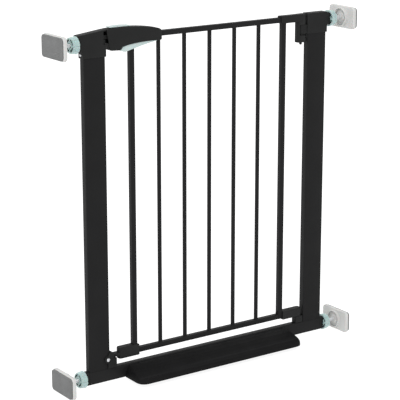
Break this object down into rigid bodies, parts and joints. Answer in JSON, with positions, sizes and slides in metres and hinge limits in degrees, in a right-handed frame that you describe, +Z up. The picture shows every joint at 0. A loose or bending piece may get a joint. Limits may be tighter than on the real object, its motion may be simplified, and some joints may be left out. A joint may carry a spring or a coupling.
{
  "type": "pressure-fit safety gate",
  "caption": "Low black steel gate for a doorway, pressed between the walls by four screw-adjusted pads, with a barred leaf that swings both ways and a two-step latch in its handle.",
  "frame": {"origin": "middle of the threshold rail's flat underside, on the leaf's mid-plane", "axes": "+X across the doorway towards the hinges, +Y through the doorway away from the ramp, +Z up"},
  "size_m": [0.7529, 0.1138, 0.7691],
  "materials": {
    "black_steel": "satin black powder coat",
    "black_plastic": "fine-grained black moulding",
    "ramp_plastic": "dark moulding",
    "aqua_plastic": "pale grey-green moulding",
    "wheel_plastic": "milky translucent pale aqua",
    "cup_plastic": "white moulding",
    "pad_rubber": "soft grey rubber",
    "zinc_steel": "bright zinc plate"
  },
  "bodies": {
    "frame": {"threshold_rail": "black_steel", "post_left": "black_steel", "post_right": "black_steel", "post_cap_left": "black_plastic", "post_cap_right": "black_plastic", "cap_screw_left": "zinc_steel", "cap_screw_right": "zinc_steel", "threshold_ramp": "ramp_plastic", "ramp_screw_1": "zinc_steel", "ramp_screw_2": "zinc_steel", "ramp_screw_3": "zinc_steel", "latch_catch": "black_plastic", "catch_rivet": "zinc_steel", "hinge_foot": "black_plastic", "rail_plug_left": "black_plastic", "rail_plug_right": "black_plastic"},
    "hinge_pins": {"upper_hinge_pin": "black_steel", "lower_hinge_pin": "black_steel"},
    "gate": {"stile_left": "black_steel", "stile_right": "black_steel", "leaf_top_rail": "black_steel", "leaf_bottom_rail": "black_steel", "bar_1": "black_steel", "bar_2": "black_steel", "bar_3": "black_steel", "bar_4": "black_steel", "bar_5": "black_steel", "upper_hinge_arm": "black_plastic", "lower_hinge_arm": "black_plastic", "lower_hinge_screw": "black_steel", "latch_shoe": "black_plastic", "handle_front": "black_plastic", "handle_rear": "black_plastic", "handle_screw_1": "zinc_steel", "handle_screw_2": "zinc_steel", "handle_screw_3": "zinc_steel", "lever_pin": "zinc_steel", "button_spring": "zinc_steel", "latch_spring": "zinc_steel"},
    "slide_button": {"slide_button": "aqua_plastic"},
    "release_lever": {"release_lever": "aqua_plastic"},
    "latch_bolt": {"latch_bolt": "black_plastic"},
    "wheel_upper_left": {"wheel_upper_left": "wheel_plastic"},
    "spindle_upper_left": {"spindle_upper_left": "zinc_steel", "wall_cup_upper_left": "cup_plastic", "wall_pad_upper_left": "pad_rubber"},
    "wheel_upper_right": {"wheel_upper_right": "wheel_plastic"},
    "spindle_upper_right": {"spindle_upper_right": "zinc_steel", "wall_cup_upper_right": "cup_plastic", "wall_pad_upper_right": "pad_rubber"},
    "wheel_lower_left": {"wheel_lower_left": "wheel_plastic"},
    "spindle_lower_left": {"spindle_lower_left": "zinc_steel", "wall_cup_lower_left": "cup_plastic", "wall_pad_lower_left": "pad_rubber"},
    "wheel_lower_right": {"wheel_lower_right": "wheel_plastic"},
    "spindle_lower_right": {"spindle_lower_right": "zinc_steel", "wall_cup_lower_right": "cup_plastic", "wall_pad_lower_right": "pad_rubber"}
  },
  "joints": [
    {"name": "gate_lift", "type": "slide", "parent": "frame", "child": "hinge_pins", "axis": [0, 0, 1], "range_m": [0, 0.003]},
    {"name": "gate_swing", "type": "hinge", "parent": "hinge_pins", "child": "gate", "pos_m": [0.2465, 0, 0.38], "axis": [0, 0, 1], "range_deg": [-90, 90]},
    {"name": "slide_button", "type": "slide", "parent": "gate", "child": "slide_button", "axis": [1, 0, 0], "range_m": [0, 0.008], "stiffness_N_per_m": 150, "springref_m": -0.006, "deforming": ["button_spring"]},
    {"name": "release_lever", "type": "hinge", "parent": "gate", "child": "release_lever", "pos_m": [-0.1386, 0, 0.7258], "axis": [0, 1, 0], "range_deg": [0, 3.65], "stiffness_Nm_per_rad": 1.5, "springref_deg": -11.46},
    {"name": "latch_bolt", "type": "slide", "parent": "gate", "child": "latch_bolt", "axis": [1, 0, 0], "range_m": [0, 0.0063], "stiffness_N_per_m": 200, "springref_m": -0.004, "deforming": ["latch_spring"]},
    {"name": "extend_upper_left", "type": "slide", "parent": "frame", "child": "spindle_upper_left", "axis": [-1, 0, 0], "range_m": [-0.016, 0.016]},
    {"name": "turn_wheel_upper_left", "type": "hinge", "parent": "frame", "child": "wheel_upper_left", "pos_m": [-0.3315, 0, 0.7274], "axis": [-1, 0, 0], "range_deg": [-2304, 2304]},
    {"name": "extend_upper_right", "type": "slide", "parent": "frame", "child": "spindle_upper_right", "axis": [1, 0, 0], "range_m": [-0.016, 0.016]},
    {"name": "turn_wheel_upper_right", "type": "hinge", "parent": "frame", "child": "wheel_upper_right", "pos_m": [0.329, 0, 0.7274], "axis": [1, 0, 0], "range_deg": [-2304, 2304]},
    {"name": "extend_lower_left", "type": "slide", "parent": "frame", "child": "spindle_lower_left", "axis": [-1, 0, 0], "range_m": [-0.016, 0.016]},
    {"name": "turn_wheel_lower_left", "type": "hinge", "parent": "frame", "child": "wheel_lower_left", "pos_m": [-0.3283, 0, 0.0145], "axis": [-1, 0, 0], "range_deg": [-2304, 2304]},
    {"name": "extend_lower_right", "type": "slide", "parent": "frame", "child": "spindle_lower_right", "axis": [1, 0, 0], "range_m": [-0.016, 0.016]},
    {"name": "turn_wheel_lower_right", "type": "hinge", "parent": "frame", "child": "wheel_lower_right", "pos_m": [0.3283, 0, 0.0145], "axis": [1, 0, 0], "range_deg": [-2304, 2304]}
  ],
  "couplings": [
    {"joint": "latch_bolt", "follows": "release_lever", "m_per_rad": 0.098894},
    {"joint": "turn_wheel_upper_left", "follows": "extend_upper_left", "rad_per_m": 2513.3},
    {"joint": "turn_wheel_upper_right", "follows": "extend_upper_right", "rad_per_m": 2513.3},
    {"joint": "turn_wheel_lower_left", "follows": "extend_lower_left", "rad_per_m": 2513.3},
    {"joint": "turn_wheel_lower_right", "follows": "extend_lower_right", "rad_per_m": 2513.3}
  ]
}
